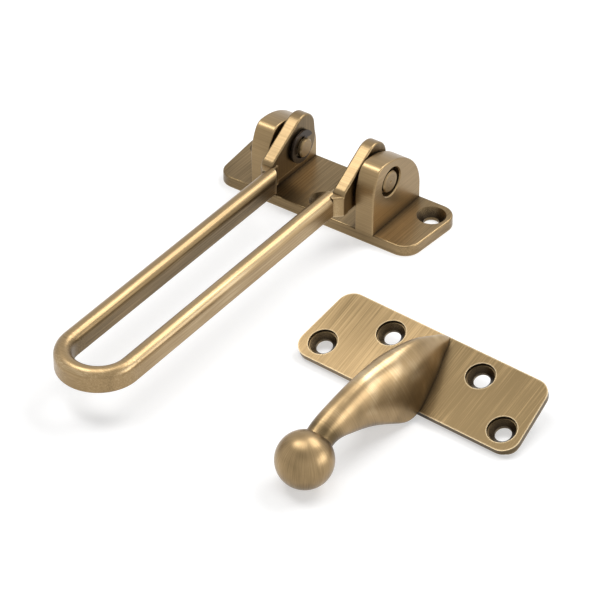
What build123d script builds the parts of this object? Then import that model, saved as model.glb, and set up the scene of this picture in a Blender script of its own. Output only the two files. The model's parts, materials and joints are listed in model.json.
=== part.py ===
"""Swing bar door guard: a hinge plate with a swinging loop, and the ball keeper that it drops over.

The hinge plate lies flat on z = 0 with the middle of its underside at the origin. X runs along the
plate, the loop points to -Y, and the loop turns about the pivot line, which is parallel to X.
"""
from build123d import *
from math import asin, atan2, cos, degrees, hypot, radians, sin, tan
import os

# Hinge plate: a flat plate with an arched lug near each end, cast in one
plate_length = 72.6
plate_depth = 25.4
plate_thickness = 3.5
plate_taper = 1.0            # each end leans out by this much from mid-depth to the back edge
plate_corner = 5.5
plate_edge = 0.5
lug_spacing = 31.6           # clear width between the two lugs
lug_thickness = 6.6
lug_height = 25.45           # top of the lugs above the mounting face
lug_crown_y = -7.1           # where the arched lugs are highest
lug_front_rise = 10.5        # height of the arch's front quarter
lug_back_rise = 17.2         # height of the arch's back quarter
lug_front_turn = 30          # degrees turned by each quarter's lower arc
lug_back_turn = 45
lug_edge = 0.5
lug_root = 1.5               # how deep the lugs run into the plate

# Countersunk screw holes of the hinge plate
screw_radius = 2.4
countersink_radius = 4.55
countersink_angle = 82
end_hole_spacing = 61.8
end_hole_y = 6.2
middle_hole_y = -6.1

# Pivot line, its two headed pins and what sits on them
pivot_y = -3.15
pivot_drop = 7.85            # pivot line below the top of the lugs
pin_radius = 3.0
pin_head_radius = 3.5
pin_head_thickness = 2.0
pin_head_recess = 0.2        # head face behind the lug face
pin_projection = 2.05        # end beyond the clip's outer face
pin_chamfer = 0.35
dimple_radius = 0.5
recess_radius = 4.7
recess_chamfer = 0.35
bore_clearance = 0.02        # pin in the lug, radial
running_clearance = 0.06     # ear on the pin, radial
washer_thickness = 0.4
washer_radius = 5.6
side_clearance = 0.1         # on each side of the washer
clip_play = 0.45             # between the ear and the clip
clip_thickness = 0.7
clip_radius = 5.4
clip_groove_radius = 2.5
clip_pocket_radius = 3.7
clip_tooth_width = 1.9
clip_mouth = 4.1
clip_clearance = 0.02

# Swing arm: a bar bent to a loop, with an upright ear at each end
bar_spacing = 20.6           # between the bars' centre lines
bar_width = 5.3
bar_side_height = 4.4        # flat side below the rounded top
bar_drop = 7.0               # bar's flat underside below the pivot line
bar_edge = 0.5
loop_center_y = -115.6       # centre of the half-circle at the end of the loop
ear_thickness = 4.2
ear_front_y = -17.6
ear_front_rise = 0.5         # start of the ear's sloping edge above the bar's top
ear_slope = 31.2             # degrees, the ear's upper edge above the bar
ear_back_y = 6.0             # at the bar's underside
ear_back_lean = 5.7          # degrees, forwards from upright
ear_front_radius = 2.5
ear_top_radius = 6.0
ear_heel_radius = 6.8
ear_edge = 0.65
ear_blend = 2.2              # length over which the ear steps out from the bar
ear_blend_drop = 0.3         # top of that step below the bar's top

# Ball keeper: a thin plate, a horn that rises from it and the ball at its end
keeper_length = 74.95        # at mid-depth
keeper_depth = 25.4
keeper_thickness = 1.9
keeper_taper = 1.5           # each end leans out by this much from mid-depth to the front edge
keeper_corner = 5.0
keeper_screw_radius = 2.45
keeper_rim_radius = 4.4
keeper_rim_depth = 0.8
keeper_cone_radius = 3.95
keeper_cone_angle = 90
outer_hole_spacing = 63.16
outer_hole_y = -6.2
inner_hole_spacing = 31.56
inner_hole_y = 5.8
foot_height = 1.1
foot_radius = 3.45
foot_inset = 4.65            # foot centre from the two edges beside it
boss_radius = 4.3
ball_radius = 8.35
ball_y = -49.95
ball_z = 19.4
keeper_x = 72.41
keeper_y = -60.7
keeper_yaw = -3.5

# Horn sections: distance from the plate's middle, half width, height of the widest line,
# rise of the rounded top above it, and drop of the rounded underside below it
horn_sections = (
    (12.45, 0.25, 0.0, 0.35, 1.2),
    (7.0, 2.4, 0.0, 7.3, 1.6),
    (2.4, 4.0, 0.0, 11.9, 1.8),
    (-2.2, 5.3, 0.0, 15.3, 1.9),
    (-7.0, 6.5, 0.0, 17.9, 1.9),
    (-12.7, 7.5, 0.2, 20.3, 2.1),
    (-16.6, 7.3, 1.0, 20.9, 2.5),
    (-20.5, 6.7, 4.6, 18.5, 3.2),
    (-28.0, 5.5, 13.2, 11.4, 4.9),
    (-35.0, 4.7, 18.0, 7.4, 4.4),
    (-42.0, 4.1, 20.4, 5.0, 4.2),
    (-47.0, 3.9, 19.8, 4.4, 4.2),
)

# Places that follow from the sizes above
pivot_z = lug_height - pivot_drop
bar_base_z = pivot_z - bar_drop
lug_outer_x = lug_spacing / 2 + lug_thickness
ear_outer_x = lug_spacing / 2 - washer_thickness - 2 * side_clearance
ear_inner_x = ear_outer_x - ear_thickness
bar_x = bar_spacing / 2
bar_radius = bar_width / 2
bar_top_z = bar_base_z + bar_side_height + bar_radius
clip_outer_x = ear_inner_x - clip_play
pin_end_x = clip_outer_x - pin_projection
recess_depth = pin_head_thickness + pin_head_recess
keeper_foot_z = keeper_thickness + foot_height
keeper_foot_y = -keeper_depth / 2 + foot_inset

# The keeper lies on its ball and its two front feet
foot_tip_y = keeper_foot_y - foot_radius
rest_run = foot_tip_y - ball_y
rest_rise = ball_z + keeper_foot_z
keeper_tilt = degrees(atan2(rest_rise, rest_run) - asin(ball_radius / hypot(rest_run, rest_rise)))
keeper_z = keeper_foot_z * cos(radians(keeper_tilt)) - foot_tip_y * sin(radians(keeper_tilt))
keeper_face = Plane(Pos(keeper_x, keeper_y, keeper_z) * Rot(Z=keeper_yaw) * Rot(X=keeper_tilt))

pivot_axis = Axis((0, pivot_y, pivot_z), (1, 0, 0))


def pivot_plane(x, side=1):
    """Plane across the pivot line, with its own x along +Y and its normal away from the middle."""
    return Plane(origin=(side * x, pivot_y, pivot_z), x_dir=(0, 1, 0), z_dir=(side, 0, 0))


def tapered_outline(length, depth, lean):
    """Outline of a plate whose two ends lean out towards +Y, or towards -Y with a negative lean."""
    half, side = length / 2, depth / 2
    Polyline((-half + lean, -side), (half - lean, -side), (half + lean, side),
             (-half - lean, side), close=True)


def shoulder(start, run, rise, turn, way):
    """Two arcs, tangent to each other, from an upright edge to a level crown."""
    lean = radians(turn)
    crown_radius = ((run * sin(lean) - rise * (1 - cos(lean)))
                    / (cos(lean) * sin(lean) - (1 - cos(lean)) * (1 - sin(lean))))
    side_radius = (rise - crown_radius * (1 - sin(lean))) / sin(lean)
    side_arc = JernArc(start, (0, 1), side_radius, way * turn)
    JernArc(side_arc @ 1, side_arc % 1, crown_radius, way * (90 - turn))


# Hinge plate
with BuildPart() as lug:
    with BuildSketch(Plane.YZ):
        with BuildLine():
            Polyline((-plate_depth / 2, lug_height - lug_front_rise),
                     (-plate_depth / 2, plate_thickness - lug_root),
                     (plate_depth / 2, plate_thickness - lug_root),
                     (plate_depth / 2, lug_height - lug_back_rise))
            shoulder((plate_depth / 2, lug_height - lug_back_rise), plate_depth / 2 - lug_crown_y,
                     lug_back_rise, lug_back_turn, 1)
            shoulder((-plate_depth / 2, lug_height - lug_front_rise), plate_depth / 2 + lug_crown_y,
                     lug_front_rise, lug_front_turn, -1)
        make_face()
    extrude(amount=lug_thickness / 2, both=True)
    fillet(lug.faces().filter_by(Axis.X).edges() - lug.faces().sort_by(Axis.Z)[0].edges(), lug_edge)

with BuildPart() as hinge_plate:
    with BuildSketch():
        with BuildLine():
            tapered_outline(plate_length, plate_depth, plate_taper)
        make_face()
    extrude(amount=plate_thickness)
    fillet(hinge_plate.edges().filter_by(Axis.Z), plate_corner)
    fillet(hinge_plate.faces().sort_by(Axis.Z)[-1].edges(), plate_edge)
    with Locations(((lug_spacing + lug_thickness) / 2, 0, 0),
                   (-(lug_spacing + lug_thickness) / 2, 0, 0)):
        add(lug.part)
    for side in (-1, 1):
        with Locations(pivot_plane(lug_outer_x, side)):
            CounterBoreHole(pin_radius + bore_clearance, recess_radius, recess_depth,
                            depth=lug_thickness)
    recess_rims = hinge_plate.edges().filter_by(GeomType.CIRCLE).filter_by(
        lambda edge: abs(edge.radius - recess_radius) < recess_chamfer
        and abs(edge.arc_center.Z - pivot_z) < recess_chamfer)
    chamfer(recess_rims.group_by(lambda edge: round(abs(edge.arc_center.X), 3))[-1], recess_chamfer)
    with Locations((-end_hole_spacing / 2, end_hole_y, plate_thickness),
                   (end_hole_spacing / 2, end_hole_y, plate_thickness),
                   (0, middle_hole_y, plate_thickness)):
        CounterSinkHole(screw_radius, countersink_radius, counter_sink_angle=countersink_angle)

# The right ear, with its upper edge sloping up from the bar, and the step out to it
ear_slope_z = bar_top_z + ear_front_rise
ear_peak_y = ((ear_back_y * tan(radians(90 - ear_back_lean)) + ear_front_y * tan(radians(ear_slope))
               - ear_slope_z + bar_base_z)
              / (tan(radians(90 - ear_back_lean)) + tan(radians(ear_slope))))
ear_peak_z = ear_slope_z + (ear_peak_y - ear_front_y) * tan(radians(ear_slope))

with BuildPart() as ear:
    with BuildSketch(Plane.YZ.offset(ear_inner_x)) as profile:
        with BuildLine():
            Polyline((ear_front_y, bar_base_z), (ear_back_y, bar_base_z),
                     (ear_peak_y, ear_peak_z), (ear_front_y, ear_slope_z), close=True)
        make_face()
        fillet(profile.vertices().sort_by(Axis.Y)[-1], ear_top_radius)
        fillet(profile.vertices().sort_by(Axis.X)[-1], ear_heel_radius)
        fillet(profile.vertices().filter_by(
            lambda corner: corner.Y > bar_top_z and corner.X < ear_front_y + ear_front_rise),
            ear_front_radius)
    extrude(amount=ear_thickness)
    for face in (Axis.X, -Axis.X):
        fillet(ear.faces().sort_by(face)[-1].edges().filter_by(
            lambda edge: edge.center().Y > ear_front_y + ear_edge), ear_edge)

with BuildPart() as ear_step:
    with BuildSketch(Plane.XY.offset(bar_base_z)):
        with BuildLine():
            Polyline((bar_x, ear_front_y + ear_blend), (bar_x, ear_front_y - ear_blend),
                     (bar_x + bar_radius, ear_front_y - ear_blend), (ear_outer_x, ear_front_y),
                     (ear_outer_x, ear_front_y + ear_blend), close=True)
        make_face()
    extrude(amount=bar_top_z - ear_blend_drop - bar_base_z)
    fillet(ear_step.edges().filter_by(Axis.Z).sort_by(Axis.X)[-2:].sort_by(Axis.Y)[0], ear_edge)
    fillet(ear_step.faces().sort_by(Axis.Z)[-1].edges().sort_by(Axis.X)[-3:], ear_edge)

# Swing arm
with BuildPart() as swing_arm:
    with BuildLine():
        Polyline((-bar_x, ear_front_y), (-bar_x, loop_center_y))
        JernArc((-bar_x, loop_center_y), (0, -1), bar_x, 180)
        Line((bar_x, loop_center_y), (bar_x, ear_front_y))
    with BuildSketch(Plane(origin=(-bar_x, ear_front_y, 0), x_dir=(1, 0, 0), z_dir=(0, -1, 0))) as bar:
        with BuildLine():
            Polyline((-bar_radius, bar_base_z + bar_side_height), (-bar_radius, bar_base_z),
                     (bar_radius, bar_base_z), (bar_radius, bar_base_z + bar_side_height))
            JernArc((bar_radius, bar_base_z + bar_side_height), (0, 1), bar_radius, 180)
        make_face()
        fillet(bar.vertices().group_by(Axis.Y)[0], bar_edge)
    sweep()
    # Each bar's inner half ends in a quarter round beside the ear
    end_radius = ear_inner_x - (bar_x - bar_radius)
    with BuildSketch(Plane.XY.offset(bar_base_z)):
        with Locations((ear_inner_x - end_radius / 2, ear_front_y - end_radius / 2),
                       (-ear_inner_x + end_radius / 2, ear_front_y - end_radius / 2)):
            Rectangle(end_radius, end_radius)
        with Locations((ear_inner_x, ear_front_y - end_radius), (-ear_inner_x, ear_front_y - end_radius)):
            Circle(end_radius, mode=Mode.SUBTRACT)
    extrude(amount=bar_top_z - bar_base_z, mode=Mode.SUBTRACT)
    for half in (ear.part, ear_step.part):
        add(half)
        add(half.mirror(Plane.YZ))
    for side in (-1, 1):
        with Locations(pivot_plane(ear_outer_x, side)):
            Hole(pin_radius + running_clearance, depth=ear_thickness)

# Ball keeper


def horn_plane(y):
    """Upright plane across the horn, with its own y along the keeper's normal."""
    return Plane(origin=keeper_face.from_local_coords(Vector(0, y, 0)),
                 x_dir=keeper_face.x_dir, z_dir=-keeper_face.y_dir)


front_half = keeper_length / 2 + keeper_taper
back_half = keeper_length / 2 - keeper_taper
outer_holes = [(side * outer_hole_spacing / 2, outer_hole_y) for side in (-1, 1)]
inner_holes = [(side * inner_hole_spacing / 2, inner_hole_y) for side in (-1, 1)]
feet = [(side * (front_half - foot_inset), keeper_foot_y) for side in (-1, 1)]
feet += [(side * (back_half - foot_inset), -keeper_foot_y) for side in (-1, 1)]

with BuildPart() as ball_keeper:
    for y, half_width, waist, rise, drop in horn_sections:
        with BuildSketch(horn_plane(y)):
            with BuildLine():
                EllipticalCenterArc((0, waist), half_width, rise, 0, arc_size=180)
                EllipticalCenterArc((0, waist), half_width, drop, 180, arc_size=180)
            make_face()
    loft()
    with BuildSketch(keeper_face.offset(-keeper_thickness)) as outline:
        with BuildLine():
            tapered_outline(keeper_length, keeper_depth, -keeper_taper)
        make_face()
        fillet(outline.vertices(), keeper_corner)
    extrude(amount=keeper_thickness)
    with BuildSketch(keeper_face.offset(-keeper_foot_z)):
        with Locations(*feet):
            Circle(foot_radius)
        with Locations(*outer_holes, *inner_holes):
            Circle(boss_radius)
    extrude(amount=foot_height)
    with Locations(keeper_face.from_local_coords(Vector(0, ball_y, ball_z))):
        Sphere(ball_radius)
    with Locations(keeper_face):
        with Locations(*outer_holes, *inner_holes):
            Hole(keeper_rim_radius, depth=keeper_rim_depth)
    with Locations(keeper_face.offset(-keeper_rim_depth)):
        with Locations(*outer_holes, *inner_holes):
            CounterSinkHole(keeper_screw_radius, keeper_cone_radius,
                            depth=keeper_foot_z, counter_sink_angle=keeper_cone_angle)

# Pins, washers and clips, a set on each side
pieces = {"hinge_plate": hinge_plate, "swing_arm": swing_arm, "ball_keeper": ball_keeper}

for side_name, side in (("left", -1), ("right", 1)):
    head_x = lug_outer_x - pin_head_recess
    shoulder_x = head_x - pin_head_thickness
    groove_x = clip_outer_x + clip_clearance
    groove_end_x = clip_outer_x - clip_thickness - clip_clearance
    with BuildPart() as pivot_pin:
        with BuildSketch(Plane(origin=(0, pivot_y, pivot_z), x_dir=(side, 0, 0))):
            with BuildLine():
                Polyline((pin_end_x, 0), (pin_end_x, pin_radius - pin_chamfer),
                         (pin_end_x + pin_chamfer, pin_radius), (groove_end_x, pin_radius),
                         (groove_end_x, clip_groove_radius), (groove_x, clip_groove_radius),
                         (groove_x, pin_radius), (shoulder_x, pin_radius),
                         (shoulder_x, pin_head_radius), (head_x - pin_chamfer, pin_head_radius),
                         (head_x, pin_head_radius - pin_chamfer), (head_x, dimple_radius),
                         (head_x - dimple_radius, 0), close=True)
            make_face()
        revolve(axis=pivot_axis)
    pieces[side_name + "_pivot_pin"] = pivot_pin

    with BuildPart() as washer:
        with BuildSketch(pivot_plane(ear_outer_x + side_clearance, side)):
            Circle(washer_radius)
            Circle(pin_radius + running_clearance, mode=Mode.SUBTRACT)
        extrude(amount=washer_thickness)
    pieces[side_name + "_spacer_washer"] = washer

    with BuildPart() as clip:
        with BuildSketch(pivot_plane(clip_outer_x - clip_thickness, side)):
            Circle(clip_radius)
            Circle(clip_pocket_radius, mode=Mode.SUBTRACT)
            with PolarLocations(clip_pocket_radius, 3, start_angle=60):
                Rectangle(2 * (clip_pocket_radius - clip_groove_radius), clip_tooth_width)
            Circle(clip_groove_radius + clip_clearance, mode=Mode.SUBTRACT)
            with Locations((clip_radius / 2, 0)):
                Rectangle(clip_radius + clip_tooth_width, clip_mouth, mode=Mode.SUBTRACT)
        extrude(amount=clip_thickness)
    pieces[side_name + "_retaining_clip"] = clip

os.makedirs("parts", exist_ok=True)
for name, piece in pieces.items():
    piece.part.label = name
    export_step(piece.part, "parts/" + name + ".step")
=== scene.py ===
import json
import math
import bpy
import bmesh
from mathutils import Matrix, Vector

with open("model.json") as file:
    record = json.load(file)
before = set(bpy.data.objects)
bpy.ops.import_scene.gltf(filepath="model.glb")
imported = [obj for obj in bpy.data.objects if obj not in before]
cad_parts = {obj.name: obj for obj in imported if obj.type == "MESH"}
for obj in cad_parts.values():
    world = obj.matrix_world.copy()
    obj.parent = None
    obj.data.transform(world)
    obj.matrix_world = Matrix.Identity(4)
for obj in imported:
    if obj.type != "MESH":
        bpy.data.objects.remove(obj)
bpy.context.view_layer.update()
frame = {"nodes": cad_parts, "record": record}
cadNodes = frame["nodes"]
print("guard: CAD loaded,", len(cadNodes), "pieces")

mm = 0.001


# A socket that can be added, multiplied and compared like a number
class Signal:
    def __init__(self, kit, socket):
        self.kit = kit
        self.socket = socket

    def maths(self, operation, a, b=0.0):
        return self.kit.node("ShaderNodeMath", {"operation": operation}, {0: a, 1: b})

    def __add__(self, other): return self.maths("ADD", self, other)
    def __radd__(self, other): return self.maths("ADD", other, self)
    def __sub__(self, other): return self.maths("SUBTRACT", self, other)
    def __rsub__(self, other): return self.maths("SUBTRACT", other, self)
    def __mul__(self, other): return self.maths("MULTIPLY", self, other)
    def __rmul__(self, other): return self.maths("MULTIPLY", other, self)
    def __truediv__(self, other): return self.maths("DIVIDE", self, other)
    def __rtruediv__(self, other): return self.maths("DIVIDE", other, self)
    def __pow__(self, other): return self.maths("POWER", self, other)
    def __neg__(self): return self.maths("MULTIPLY", self, -1.0)
    def __abs__(self): return self.maths("ABSOLUTE", self)
    def least(self, other): return self.maths("MINIMUM", self, other)
    def most(self, other): return self.maths("MAXIMUM", self, other)
    def clamped(self): return self.most(0.0).least(1.0)
    def rise(self, low, high): return ((self - low) / (high - low)).clamped()


# The node tree of a material or of the world: adds nodes by type, settings and inputs
class NodeKit:
    def __init__(self, owner):
        owner.use_nodes = True
        self.tree = owner.node_tree
        self.tree.nodes.clear()

    def node(self, kind, settings=None, inputs=None, output=0):
        made = self.tree.nodes.new(kind)
        for name, value in (settings or {}).items():
            setattr(made, name, value)
        for name, value in (inputs or {}).items():
            if isinstance(value, Signal):
                self.tree.links.new(value.socket, made.inputs[name])
            else:
                made.inputs[name].default_value = value
        return Signal(self, made.outputs[output])

    # Object coordinates, or those of a frame that stands elsewhere
    def place(self, origin=(0, 0, 0), turn=(0, 0, 0)):
        coords = self.node("ShaderNodeTexCoord", output="Object")
        return self.node("ShaderNodeMapping", {"vector_type": "TEXTURE"}, {
            "Vector": coords, "Location": origin, "Rotation": turn})

    def stretched(self, where, scale):
        return self.node("ShaderNodeVectorMath", {"operation": "MULTIPLY"}, {0: where, 1: scale})

    def noise(self, where, detail, rough):
        return self.node("ShaderNodeTexNoise", inputs={
            "Vector": where, "Scale": 1.0, "Detail": detail, "Roughness": rough}, output="Fac")

    def mix(self, amount, first, second):
        return self.node("ShaderNodeMix", {"data_type": "RGBA"}, {0: amount, 6: first, 7: second},
                         output=2)

    def blend(self, amount, first, second):
        return self.node("ShaderNodeMix", {"data_type": "FLOAT"}, {0: amount, 2: first, 3: second})

    def parts(self, vector):
        made = self.tree.nodes.new("ShaderNodeSeparateXYZ")
        self.tree.links.new(vector.socket, made.inputs[0])
        return [Signal(self, made.outputs[i]) for i in range(3)]

    def finish(self, shader, kind="ShaderNodeOutputMaterial"):
        made = self.tree.nodes.new(kind)
        self.tree.links.new(shader.socket, made.inputs["Surface"])


antiqueBrass = {
    # The brightest colour serves rubbed wear and painted highlights; the toned one serves toning and
    # painted shade
    "rubbedAndHighlight": (0.74, 0.60, 0.39, 1.0),
    "body": (0.34, 0.236, 0.120, 1.0),
    "tonedAndShaded": (0.110, 0.076, 0.036, 1.0),
    "patina": (0.022, 0.015, 0.009, 1.0),
    "roughness": 0.33,
    "hairWidth": 0.26 * mm,
    "streakWidth": 0.55 * mm,
    "hairWeight": 0.72,
    "strokeLength": 26.0 * mm,
    "strokeContrast": 0.75,
    "brushDepth": 0.15,
    "brushHeight": 0.04 * mm,
    "brushRoughness": 0.25,
    "drift": 0.45,
    "driftScale": 38.0,
    "shadeSamples": 12,
    "cornerReach": 5.5 * mm,
    "cornerRange": (0.42, 0.90),
    "cornerPower": 1.6,
    "cornerRoughness": 0.15,
    "holeRange": (0.90, 1.0),
    "patinaShare": 0.95,
    # The edge lightening below is rubbed wear and also a painted highlight along the rounded edges
    "wear": 0.6,
    "wearRange": (0.40, 0.70),
    "edgeReach": 1.0 * mm,
    "lacquer": 0.06,
    "lacquerRoughness": 0.25,
}


# Brush marks, about 0.5: fine hairs and streaks, long in the axes named by along
def strokes(kit, where, along):
    look = antiqueBrass
    hair = look["hairWeight"]
    total = 0.0
    for width, weight in ((look["hairWidth"], hair), (look["streakWidth"], 1 - hair)):
        stretch = [1.0 / width] * 3
        for axis in along:
            stretch["XYZ".index(axis)] = 1.0 / look["strokeLength"]
        marks = kit.noise(kit.stretched(where, tuple(stretch)), detail=2.0, rough=0.5)
        total = marks * weight + total
    return total


# The same marks with only a share of their contrast
def calmed(brush, share):
    return brush * share + (1.0 - share) / 2


# The brass itself, with dark patina in corners, and edges lightened by rubbed wear and a painted
# highlight along them. shine is 0 for the darkest colour, 0.5 for the plain colour and 1 for the
# brightest; besides the metal's own tone it carries painted light and shade, such as highlights on
# crowns and shade on flat faces.
# hole is 1 on a screw hole's wall
def brassShader(kit, brush, shine, hole=0.0):
    look = antiqueBrass
    cavity = kit.node("ShaderNodeAmbientOcclusion",
                      {"samples": look["shadeSamples"], "only_local": True},
                      {"Distance": look["cornerReach"]}, output="AO")
    edge = kit.node("ShaderNodeAmbientOcclusion",
                    {"samples": look["shadeSamples"], "inside": True, "only_local": True},
                    {"Distance": look["edgeReach"]}, output="AO")
    bump = kit.node("ShaderNodeBump", inputs={
        "Height": brush, "Strength": look["brushDepth"], "Distance": look["brushHeight"]})
    cloud = kit.noise(kit.stretched(kit.place(), (look["driftScale"],) * 3), detail=1.0, rough=0.5)
    level = ((brush - 0.5) * look["strokeContrast"] + shine + (cloud - 0.5) * look["drift"]).clamped()
    # Lower levels blend towards toning and painted shade, higher ones towards wear and painted
    # highlight
    colour = kit.mix((level * 2.0).clamped(), look["tonedAndShaded"], look["body"])
    colour = kit.mix((level * 2.0 - 1.0).clamped(), colour, look["rubbedAndHighlight"])
    corner = (1.0 - cavity.rise(*look["cornerRange"])) ** look["cornerPower"]
    corner = corner.most((1.0 - cavity.rise(*look["holeRange"])) * hole)
    colour = kit.mix((corner * look["patinaShare"]).clamped(), colour, look["patina"])
    # Edges lightened: rubbed wear and a painted highlight along them
    wear = (1.0 - edge.rise(*look["wearRange"])) * look["wear"]
    colour = kit.mix(wear, colour, look["rubbedAndHighlight"])
    roughness = (look["roughness"] + (0.5 - brush) * look["brushRoughness"]
                 + corner * look["cornerRoughness"])
    return kit.node("ShaderNodeBsdfPrincipled", inputs={
        "Base Color": colour, "Metallic": 1.0, "Roughness": roughness, "Normal": bump,
        "Coat Weight": look["lacquer"], "Coat Roughness": look["lacquerRoughness"]})


def newMaterial(name):
    material = bpy.data.materials.new(name)
    return material, NodeKit(material)


def dress(names, material):
    for name in names:
        mesh = cadNodes[name].data
        mesh.materials.clear()
        mesh.materials.append(material)


# Hinge plate: brushed along Y on its top and the lugs' flat faces, across elsewhere
hinge = {
    "plateTop": 3.6 * mm,
    "fade": 0.3 * mm,
    "sideFlatness": (0.75, 0.9),
    "topFlatness": (0.4, 0.7),
    "lugShine": 0.38,
    "plateShine": 0.20,
    "lugContrast": 0.7,
    "coneLean": (0.3, 0.5),
    "flatLean": (0.90, 0.97),
}


def hingeMaterial():
    material, kit = newMaterial("hingeBrass")
    where = kit.place()
    lean = kit.parts(kit.node("ShaderNodeTexCoord", output="Normal"))
    upward = abs(lean[2])
    onPlate = 1.0 - kit.parts(where)[2].rise(hinge["plateTop"], hinge["plateTop"] + hinge["fade"])
    onTop = onPlate * upward.rise(*hinge["topFlatness"])
    lengthwise = abs(lean[0]).rise(*hinge["sideFlatness"]).most(onTop)
    brush = kit.blend(lengthwise, strokes(kit, where, "X"), strokes(kit, where, "Y"))
    brush = kit.blend(onPlate, calmed(brush, hinge["lugContrast"]), brush)
    sloped = upward.rise(*hinge["coneLean"]) * (1.0 - upward.rise(*hinge["flatLean"])) * onPlate
    shine = kit.blend(onPlate, hinge["lugShine"], hinge["plateShine"])
    kit.finish(brassShader(kit, brush, shine, sloped))
    return material


dress(["hinge_plate"], hingeMaterial())

# Swing arm: marks along the bars, across the bend and the ears' bands, upright on the ears' flats;
# painted highlights on the bars' crowns and outer sides, painted shade on their flanks and the ears'
# flats
swingArm = {
    "earFront": -18.0 * mm,
    "bendStart": -112.0 * mm,
    "fade": 1.0 * mm,
    "barX": 10.3 * mm,
    # The next three values are painted light and shade on the bars: a shaded level for the flanks, a
    # painted highlight along the crown and painted light on the outer sides and the bend's front
    "shadedFlank": 0.12,
    "crown": 0.26,
    "outerSideLight": 0.34,
    "bandShine": 0.26,
    # Painted shade: the ears' flat faces darker than their bands
    "earFlatShade": 0.06,
    "earContrast": 0.55,
    "flatness": (0.8, 0.95),
    "crownLean": (0.35, 0.95),
    "outerLean": (0.5, 0.9),
    "bendLean": (0.3, 0.8),
}


def armMaterial():
    material, kit = newMaterial("armBrass")
    where = kit.place()
    lean = kit.parts(kit.node("ShaderNodeTexCoord", output="Normal"))
    spot = kit.parts(where)
    fade = swingArm["fade"]
    onEar = spot[1].rise(swingArm["earFront"] - fade, swingArm["earFront"] + fade)
    onBend = 1.0 - spot[1].rise(swingArm["bendStart"] - fade, swingArm["bendStart"] + fade)
    upright = abs(lean[0]).rise(*swingArm["flatness"]) * onEar
    brush = kit.blend(onBend.most(onEar), strokes(kit, where, "Y"), strokes(kit, where, "X"))
    brush = kit.blend(upright, brush, strokes(kit, where, "Z"))
    brush = kit.blend(onEar, brush, calmed(brush, swingArm["earContrast"]))
    # Painted light and shade on the bars: lighter on the crown, the outer sides and the bend's front
    # face, shaded on the flanks
    outerSideLit = (lean[0] * spot[0] / swingArm["barX"]).rise(*swingArm["outerLean"])
    outerSideLit = outerSideLit.most((-lean[1]).rise(*swingArm["bendLean"]) * onBend)
    barLightAndShade = (swingArm["shadedFlank"] + lean[2].rise(*swingArm["crownLean"]) * swingArm["crown"]
             + outerSideLit * swingArm["outerSideLight"])
    # Painted shade: the ears' flat faces darker than their sloped bands
    earWithFlatShade = kit.blend(upright, swingArm["bandShine"], swingArm["earFlatShade"])
    kit.finish(brassShader(kit, brush, kit.blend(onEar, barLightAndShade, earWithFlatShade)))
    return material


dress(["swing_arm"], armMaterial())

# Keeper: its own frame, read from the record's two pairs of screw holes
mounts = {mount["name"]: mount for mount in frame["record"]["mounts"]}
keeperUp = Vector(mounts["keeper_outer_screws"]["axis"]).normalized()
keeperMiddle = Vector(mounts["keeper_outer_screws"]["pos_m"])
keeperBack = (Vector(mounts["keeper_inner_screws"]["pos_m"]) - keeperMiddle).normalized()
keeperSide = keeperBack.cross(keeperUp)
keeperTurn = Matrix((keeperSide, keeperBack, keeperUp)).transposed().to_euler()

keeper = {
    "plateTop": 2.6 * mm,
    "topFade": 0.6 * mm,
    "hornBack": -13.0 * mm,
    "ballBack": -36.0 * mm,
    "fade": 1.0 * mm,
    "ballCentre": (69.14 * mm, -114.16 * mm, 8.35 * mm),
    "ballRadius": 8.35 * mm,
    "ballTurn": math.radians(-55.0),
    "meridianLength": 9.0 * mm,
    "ballShine": 0.42,
    "ballContrast": 0.8,
    "hornShine": 0.30,
    # A painted highlight on the horn's upward faces
    "hornTopHighlight": 0.22,
    "hornLean": (-0.5, 0.8),
    "hornContrast": 0.5,
    "neck": -35.4 * mm,
    "neckReach": 5.0 * mm,
    # Painted shade in a band round the neck
    "neckShade": 0.42,
    "leftShine": 0.14,
    # Painted shade on the plate right of the horn, fading out away from it
    "shadeBesideHorn": 0.22,
    "hornShadeFade": (8.0 * mm, 36.0 * mm),
    "hornShadeFadeShare": 0.4,
    "blotch": 6.0 * mm,
    "blotchDepth": 0.55,
    "coneLean": (0.05, 0.2),
    "flatLean": (0.86, 0.93),
}


# Upright brush marks round the ball, whose two ends meet on the side away from the camera
def ballMarks(kit):
    spot = kit.parts(kit.place(keeper["ballCentre"], (0.0, 0.0, keeper["ballTurn"])))
    hairs = keeper["ballRadius"] / antiqueBrass["hairWidth"]
    place = kit.node("ShaderNodeCombineXYZ", inputs={
        0: spot[1].maths("ARCTAN2", spot[1], spot[0]) * hairs, 1: spot[2] / keeper["meridianLength"]})
    return kit.noise(place, detail=3.0, rough=0.6)


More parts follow.
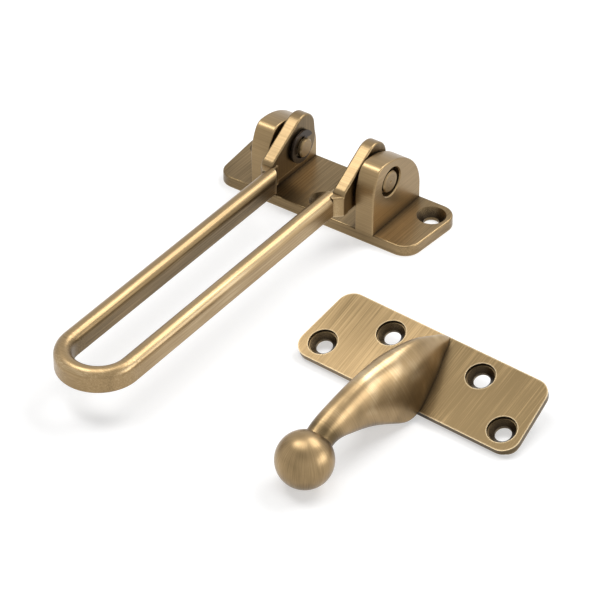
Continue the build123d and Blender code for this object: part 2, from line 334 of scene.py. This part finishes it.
def keeperMaterial():
    material, kit = newMaterial("keeperBrass")
    where = kit.place(tuple(keeperMiddle), tuple(keeperTurn))
    spot = kit.parts(where)
    lean = kit.parts(kit.node("ShaderNodeTexCoord", output="Normal"))
    fade = keeper["fade"]
    abovePlate = spot[2].rise(keeper["plateTop"], keeper["plateTop"] + keeper["topFade"])
    onHorn = abovePlate.most(1.0 - spot[1].rise(keeper["hornBack"], keeper["hornBack"] + fade))
    onBall = 1.0 - spot[1].rise(keeper["ballBack"] - fade, keeper["ballBack"] + fade)
    hornMarks = calmed(strokes(kit, where, "XZ"), keeper["hornContrast"])
    brush = kit.blend(onHorn, strokes(kit, where, "Y"), hornMarks)
    brush = kit.blend(onBall, brush, calmed(ballMarks(kit), keeper["ballContrast"]))
    blotchPlace = kit.stretched(where, (1.0 / keeper["blotch"],) * 3)
    blotches = kit.noise(blotchPlace, detail=1.0, rough=0.5) - 0.5
    # Painted shade: darker in a band round the neck between horn and ball
    neck = 1.0 - (abs(spot[1] - keeper["neck"]) / keeper["neckReach"]).clamped()
    # Painted highlight: the horn lighter where it faces up
    crowned = lean[2].rise(*keeper["hornLean"]) * keeper["hornTopHighlight"] + keeper["hornShine"]
    hornShine = (kit.blend(onBall, crowned, keeper["ballShine"]) + blotches * keeper["blotchDepth"]
                 - neck * keeper["neckShade"])
    # Painted shade beside the horn: the plate darker on its right, fading out further away
    besideHornShade = spot[0].rise(0.0, fade) * (
        1.0 - spot[0].rise(*keeper["hornShadeFade"]) * keeper["hornShadeFadeShare"])
    plateShine = keeper["leftShine"] - besideHornShade * keeper["shadeBesideHorn"]
    upward = abs(lean[2])
    sloped = upward.rise(*keeper["coneLean"]) * (1.0 - upward.rise(*keeper["flatLean"]))
    shine = kit.blend(onHorn, plateShine, hornShine)
    kit.finish(brassShader(kit, brush, shine, sloped * (1.0 - onHorn)))
    return material


dress(["ball_keeper"], keeperMaterial())

# Pins: fine turned rings about the pivot line
pin = {
    "ringWidth": 0.16 * mm,
    "ringWeight": 0.6,
    "bandWidth": 0.9 * mm,
    "shine": 0.3,
}
pivot = frame["record"]["behaviour"]["joints"][0]["pos_m"]


def pinMaterial():
    material, kit = newMaterial("pinBrass")
    spot = kit.parts(kit.place(tuple(pivot)))
    radius = (spot[1] * spot[1] + spot[2] * spot[2]) ** 0.5
    rings = 0.0
    for width, weight in ((pin["ringWidth"], pin["ringWeight"]),
                          (pin["bandWidth"], 1 - pin["ringWeight"])):
        ringPlace = kit.node("ShaderNodeCombineXYZ", inputs={0: radius / width, 1: spot[0] / width})
        rings = kit.noise(ringPlace, detail=2.0, rough=0.5) * weight + rings
    kit.finish(brassShader(kit, rings, pin["shine"]))
    return material


dress(["left_pivot_pin", "right_pivot_pin"], pinMaterial())

# Clips and washers: dark steel, a little brighter at its edges
clipSteel = {
    "colour": (0.045, 0.035, 0.028, 1.0),
    "worn": (0.12, 0.095, 0.075, 1.0),
    "roughness": 0.36,
    "grainScale": 1400.0,
    "grainMiddle": 0.45,
    "grainContrast": 1.2,
    "grainRoughness": 0.2,
    "grainDepth": 0.2,
    "grainHeight": 0.02 * mm,
    "shadeSamples": 8,
    "edgeReach": 0.3 * mm,
    "edgeRange": (0.3, 0.6),
    "edgeWear": 0.5,
    "edgeRound": 0.1 * mm,
    "roundSamples": 4,
}


def clipMaterial():
    look = clipSteel
    material, kit = newMaterial("clipSteel")
    grain = kit.noise(kit.stretched(kit.place(), (look["grainScale"],) * 3), detail=4.0, rough=0.6)
    edge = kit.node("ShaderNodeAmbientOcclusion", {"samples": look["shadeSamples"], "inside": True},
                    {"Distance": look["edgeReach"]}, output="AO")
    wear = ((grain - look["grainMiddle"]) * look["grainContrast"]
            + (1.0 - edge.rise(*look["edgeRange"])) * look["edgeWear"]).clamped()
    colour = kit.mix(wear, look["colour"], look["worn"])
    rounded = kit.node("ShaderNodeBevel", {"samples": look["roundSamples"]},
                       {"Radius": look["edgeRound"]})
    bump = kit.node("ShaderNodeBump", inputs={
        "Height": grain, "Strength": look["grainDepth"], "Distance": look["grainHeight"],
        "Normal": rounded})
    roughness = look["roughness"] + (grain - 0.5) * look["grainRoughness"]
    kit.finish(kit.node("ShaderNodeBsdfPrincipled", inputs={
        "Base Color": colour, "Metallic": 1.0, "Roughness": roughness, "Normal": bump}))
    return material


dress(["left_retaining_clip", "right_retaining_clip", "left_spacer_washer", "right_spacer_washer"],
      clipMaterial())
print("guard: materials set")

# Floor and surroundings
studio = {
    "floorSize": 4.0,
    "floorDrop": 0.02 * mm,
    "floorColour": (0.62, 0.62, 0.62, 1.0),
    "floorLift": 0.5,
    "roomStrength": 0.2,
    "backdropStrength": 1.0,
    "middle": (0.02, -0.05, 0.01),
    "boxDistance": 0.9,
    "boxes": {
        "sideBox": {"azimuth": 70, "elevation": 52, "size": (0.6, 0.45), "power": 4.4},
        "topBox": {"azimuth": 200, "elevation": 82, "size": (0.5, 0.5), "power": 2.4},
        "lowBox": {"azimuth": 18, "elevation": 14, "size": (0.6, 0.35), "power": 2.2},
        "keyBox": {"azimuth": 194, "elevation": 62, "size": (0.28, 0.28), "power": 1.7},
    },
}

floorMesh = bmesh.new()
bmesh.ops.create_grid(floorMesh, x_segments=1, y_segments=1, size=studio["floorSize"] / 2,
                      matrix=Matrix.Translation((0, 0, -studio["floorDrop"])))
floorData = bpy.data.meshes.new("studioFloor")
floorMesh.to_mesh(floorData)
floorMesh.free()
floor = bpy.data.objects.new("studioFloor", floorData)
bpy.context.scene.collection.objects.link(floor)

floorMaterial, kit = newMaterial("studioWhite")
paper = kit.node("ShaderNodeBsdfDiffuse", inputs={"Color": studio["floorColour"]})
glow = kit.node("ShaderNodeEmission", inputs={"Color": (1, 1, 1, 1), "Strength": studio["floorLift"]})
kit.finish(kit.node("ShaderNodeAddShader", inputs={0: paper, 1: glow}))
floorData.materials.append(floorMaterial)

# The world is white to the camera, in reflections and through glass, and much dimmer as light
world = bpy.data.worlds.new("studioWorld")
bpy.context.scene.world = world
kit = NodeKit(world)
seen = kit.node("ShaderNodeLightPath", output="Is Camera Ray")
for ray in ("Is Glossy Ray", "Is Transmission Ray"):
    seen = seen.most(kit.node("ShaderNodeLightPath", output=ray))
room, backdrop = (kit.node("ShaderNodeBackground", inputs={"Color": (1, 1, 1, 1), "Strength": strength})
                  for strength in (studio["roomStrength"], studio["backdropStrength"]))
kit.finish(kit.node("ShaderNodeMixShader", inputs={0: seen, 1: room, 2: backdrop}),
           "ShaderNodeOutputWorld")


# A flat lamp that faces the middle of the set
def softbox(name, azimuth, elevation, size, power):
    az, el = math.radians(azimuth), math.radians(elevation)
    light = bpy.data.lights.new(name, "AREA")
    light.shape = "RECTANGLE"
    light.size, light.size_y = size
    light.energy = power
    lamp = bpy.data.objects.new(name, light)
    bpy.context.scene.collection.objects.link(lamp)
    toLamp = Vector((math.cos(el) * math.cos(az), math.cos(el) * math.sin(az), math.sin(el)))
    lamp.location = Vector(studio["middle"]) + toLamp * studio["boxDistance"]
    lamp.rotation_euler = (-toLamp).to_track_quat("-Z", "Y").to_euler()


for name, settings in studio["boxes"].items():
    softbox(name, **settings)
print("guard: studio built")

# The camera stands where the photograph was taken from
view = {
    "place": (0.47261, -0.68489, 0.59193),
    "target": (0.020388, -0.047442, 0.000116),
    "roll": -0.116,
    "lens": 201.094,
    "sensor": 36.0,
    "clipStart": 0.01,
}
cameraData = bpy.data.cameras.new("viewCamera")
cameraData.lens = view["lens"]
cameraData.sensor_width = view["sensor"]
cameraData.clip_start = view["clipStart"]
camera = bpy.data.objects.new("viewCamera", cameraData)
bpy.context.scene.collection.objects.link(camera)
aim = (Vector(view["target"]) - Vector(view["place"])).to_track_quat("-Z", "Y").to_matrix().to_4x4()
camera.matrix_world = (Matrix.Translation(view["place"]) @ aim
                       @ Matrix.Rotation(math.radians(view["roll"]), 4, "Z"))
bpy.context.scene.camera = camera
bpy.context.scene.view_settings.view_transform = "Standard"

print("guard: ready")
